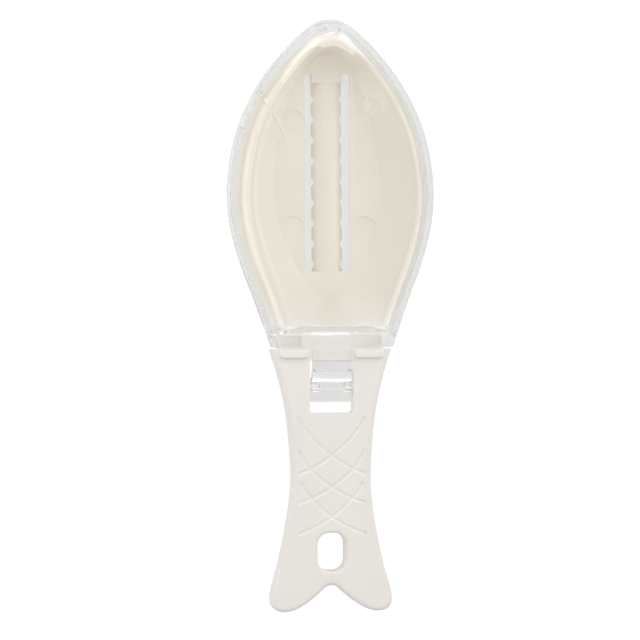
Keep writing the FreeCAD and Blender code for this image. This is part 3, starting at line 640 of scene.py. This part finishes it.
# ---------------------------------------------------------------- floor
me = bpy.data.meshes.new("floor")
S = 3.0
me.from_pydata([(-S, -S, -0.0002), (S, -S, -0.0002), (S, S, -0.0002), (-S, S, -0.0002)], [], [(0, 1, 2, 3)])
floor = bpy.data.objects.new("floor", me)
scene.collection.objects.link(floor)
fm, nt, p, out = material("floor")
p.inputs["Base Color"].default_value = (0.35, 0.35, 0.35, 1)
p.inputs["Emission Color"].default_value = (1, 1, 1, 1)
p.inputs["Emission Strength"].default_value = 0.57
p.inputs["Roughness"].default_value = 0.9
p.inputs["Specular IOR Level"].default_value = 0.0
glow = node(nt, "ShaderNodeEmission", Strength=1.05)
path = nt.nodes.new("ShaderNodeLightPath")
mix = nt.nodes.new("ShaderNodeMixShader")
nt.links.new(path.outputs["Is Camera Ray"], mix.inputs[0])
nt.links.new(p.outputs["BSDF"], mix.inputs[1])
nt.links.new(glow.outputs["Emission"], mix.inputs[2])
nt.links.new(mix.outputs["Shader"], out.inputs["Surface"])
me.materials.append(fm)

# ---------------------------------------------------------------- light
w = bpy.data.worlds.new("studio")
scene.world = w
w.use_nodes = True
nt = w.node_tree
nt.nodes.clear()
wo = nt.nodes.new("ShaderNodeOutputWorld")
bg = nt.nodes.new("ShaderNodeBackground")
co = nt.nodes.new("ShaderNodeTexCoord")
xyz = nt.nodes.new("ShaderNodeSeparateXYZ")
ramp = nt.nodes.new("ShaderNodeValToRGB")
nt.links.new(co.outputs["Generated"], xyz.inputs[0])
nt.links.new(xyz.outputs["Z"], ramp.inputs["Fac"])
SKY = [(0.0, 0.08), (0.10, 0.08), (0.16, 0.28), (0.50, 0.28), (0.62, 0.50), (0.78, 1.0), (1.0, 1.0)]      # sine of height, share of the light
while len(ramp.color_ramp.elements) < len(SKY):
    ramp.color_ramp.elements.new(0.5)
for e, (at, v) in zip(ramp.color_ramp.elements, SKY):
    e.position = at
    e.color = (v, v, v, 1)
nt.links.new(ramp.outputs["Color"], bg.inputs["Color"])
bg.inputs["Strength"].default_value = 0.89
# the camera sees a plain white backdrop beyond the floor
plain = node(nt, "ShaderNodeBackground", Color=(1, 1, 1, 1), Strength=1.05)
path = nt.nodes.new("ShaderNodeLightPath")
mix = nt.nodes.new("ShaderNodeMixShader")
nt.links.new(path.outputs["Is Camera Ray"], mix.inputs[0])
nt.links.new(bg.outputs["Background"], mix.inputs[1])
nt.links.new(plain.outputs["Background"], mix.inputs[2])
nt.links.new(mix.outputs["Shader"], wo.inputs["Surface"])


def softbox(name, at, look, size, radiance):
    ld = bpy.data.lights.new(name, "AREA")
    ld.shape = "RECTANGLE"
    ld.size, ld.size_y = size
    ld.energy = radiance * math.pi * size[0] * size[1]
    o = bpy.data.objects.new(name, ld)
    scene.collection.objects.link(o)
    o.location = Vector(at)
    o.rotation_euler = (Vector(look) - Vector(at)).to_track_quat("-Z", "Y").to_euler()
    o.visible_camera = False
    return o


def strip(name, at, look, length, height, radiance):
    """Long low softbox, its length level."""
    o = softbox(name, at, look, (length, height), radiance)
    d = (Vector(look) - Vector(at)).normalized()
    x = d.cross(Vector((0, 0, 1))).normalized()
    y = x.cross(d)
    o.matrix_world = Matrix.Translation(Vector(at)) @ Matrix((x, y, -d)).transposed().to_4x4()
    return o


strip("right strip", (0.6, 0.28, 0.34), (0, 0.06, 0.02), 1.3, 0.30, 2.2)
strip("left strip", (-0.6, 0.28, 0.34), (0, 0.06, 0.02), 1.3, 0.30, 2.2)
softbox("key", (-0.25, 0.1, 1.1), (0, 0.03, 0), (0.5, 0.5), 0.8)
for name, y, width, radiance in (("tail panel", -0.62, 2.0, 1.8), ("nose panel", 0.80, 1.4, 2.0)):
    o = strip(name, (0, y, 0.42), (0, 0.05, 0.02), width, 0.5, radiance)
    o.visible_diffuse = False

# ---------------------------------------------------------------- camera
cd = bpy.data.cameras.new("camera")
cam = bpy.data.objects.new("camera", cd)
scene.collection.objects.link(cam)
scene.camera = cam
TILT, ROLL, DIST = math.radians(7.5), math.radians(0.4), 1.2
right = Vector((math.cos(TILT), 0, math.sin(TILT)))
up = Vector((0, 1, 0))
back = right.cross(up)
right, up = right * math.cos(ROLL) - up * math.sin(ROLL), up * math.cos(ROLL) + right * math.sin(ROLL)
aim = Vector((-4.65, -1.41, 14.0)) * MM
cam.matrix_world = Matrix.Translation(aim + back * DIST) @ Matrix((right, up, back)).transposed().to_4x4()
cd.sensor_width = 36
cd.lens = 36 * DIST / (640 * 0.3874 * MM)
cd.clip_end = 20

scene.cycles.max_bounces = 24
scene.cycles.diffuse_bounces = 5
scene.cycles.glossy_bounces = 12
scene.cycles.transmission_bounces = 24
scene.cycles.transparent_max_bounces = 24
scene.view_settings.view_transform = "Standard"
scene.view_settings.look = "None"
